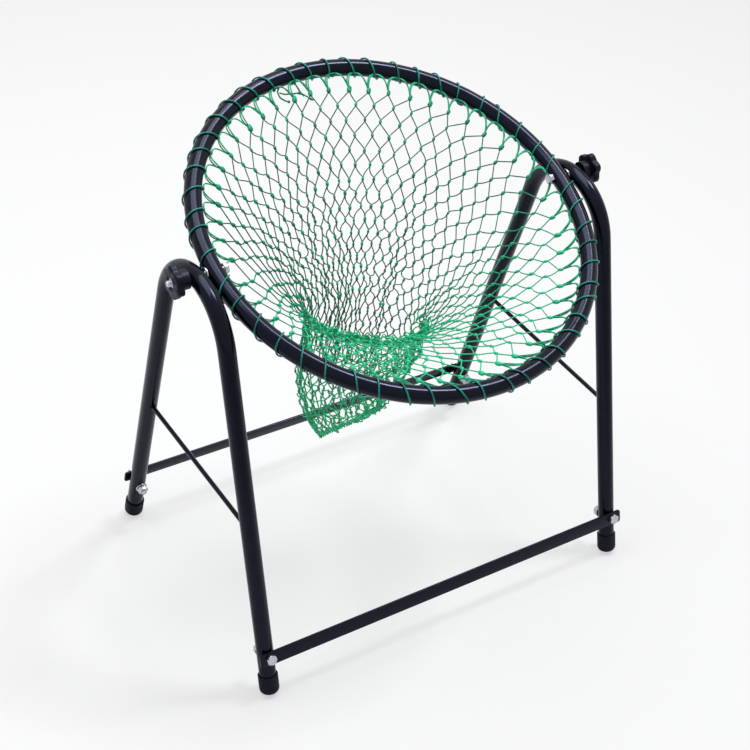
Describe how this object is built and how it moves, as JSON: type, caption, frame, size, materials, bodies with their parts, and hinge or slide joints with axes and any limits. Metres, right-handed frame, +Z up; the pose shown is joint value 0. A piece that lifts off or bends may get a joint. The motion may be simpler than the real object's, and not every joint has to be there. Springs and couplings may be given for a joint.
{
  "type": "golf chipping net",
  "caption": "Golf chipping net: a tilting tubular hoop with a laced funnel net, hung on pivot bolts between hairpin side frames that flat stretcher bars join.",
  "frame": {"origin": "On the ground, midway between the four feet.", "axes": "X runs along the pivot axis from the left frame to the right, Y from the golfer's side (front, the hoop's low edge) to the rear, Z up."},
  "size_m": [0.63, 0.4965, 0.6242],
  "materials": {
    "gloss_black_paint": "glossy powder coat",
    "zinc_plated_steel": "bright zinc plate",
    "black_rubber": "satin moulded",
    "black_plastic": "satin moulded",
    "green_twine": "knotted synthetic twine",
    "green_cord": "laid synthetic cord"
  },
  "bodies": {
    "stand": {"brace_rod_left": "gloss_black_paint", "brace_rod_right": "gloss_black_paint", "foot_cap_front_left": "black_rubber", "foot_cap_front_right": "black_rubber", "foot_cap_rear_left": "black_rubber", "foot_cap_rear_right": "black_rubber", "frame_left": "gloss_black_paint", "frame_right": "gloss_black_paint", "front_stretcher": "gloss_black_paint", "pivot_bolt_left": "zinc_plated_steel", "pivot_bolt_right": "zinc_plated_steel", "pivot_washer_left": "zinc_plated_steel", "pivot_washer_right": "zinc_plated_steel", "rear_stretcher": "gloss_black_paint", "stretcher_bolt_front_left": "zinc_plated_steel", "stretcher_bolt_front_right": "zinc_plated_steel", "stretcher_bolt_rear_left": "zinc_plated_steel", "stretcher_bolt_rear_right": "zinc_plated_steel", "stretcher_nut_front_left": "zinc_plated_steel", "stretcher_nut_front_right": "zinc_plated_steel", "stretcher_nut_rear_left": "zinc_plated_steel", "stretcher_nut_rear_right": "zinc_plated_steel", "stretcher_washer_front_left": "zinc_plated_steel", "stretcher_washer_front_right": "zinc_plated_steel", "stretcher_washer_rear_left": "zinc_plated_steel", "stretcher_washer_rear_right": "zinc_plated_steel"},
    "hoop": {"hoop_tube": "gloss_black_paint", "lacing_cord": "green_cord", "net_funnel": "green_twine", "net_pocket": "green_twine"},
    "insert_left": {"knob_insert_left": "zinc_plated_steel"},
    "insert_right": {"knob_insert_right": "zinc_plated_steel"},
    "knob_left": {"star_knob_left": "black_plastic"},
    "knob_right": {"star_knob_right": "black_plastic"}
  },
  "joints": [
    {"name": "hoop_tilt", "type": "hinge", "parent": "stand", "child": "hoop", "pos_m": [0, 0, 0.514], "axis": [1, 0, 0], "range_deg": [-22.4, 67.6]},
    {"name": "knob_left_travel", "type": "slide", "parent": "stand", "child": "insert_left", "axis": [-1, 0, 0], "range_m": [0, 0.0025]},
    {"name": "knob_left_turn", "type": "hinge", "parent": "insert_left", "child": "knob_left", "pos_m": [-0.28948, 0, 0.514], "axis": [-1, 0, 0], "range_deg": [0, 720]},
    {"name": "knob_right_travel", "type": "slide", "parent": "stand", "child": "insert_right", "axis": [1, 0, 0], "range_m": [0, 0.0025]},
    {"name": "knob_right_turn", "type": "hinge", "parent": "insert_right", "child": "knob_right", "pos_m": [0.28948, 0, 0.514], "axis": [1, 0, 0], "range_deg": [0, 720]}
  ],
  "couplings": [
    {"joint": "knob_left_turn", "follows": "knob_left_travel", "rad_per_m": 5026.5},
    {"joint": "knob_right_turn", "follows": "knob_right_travel", "rad_per_m": 5026.5}
  ]
}
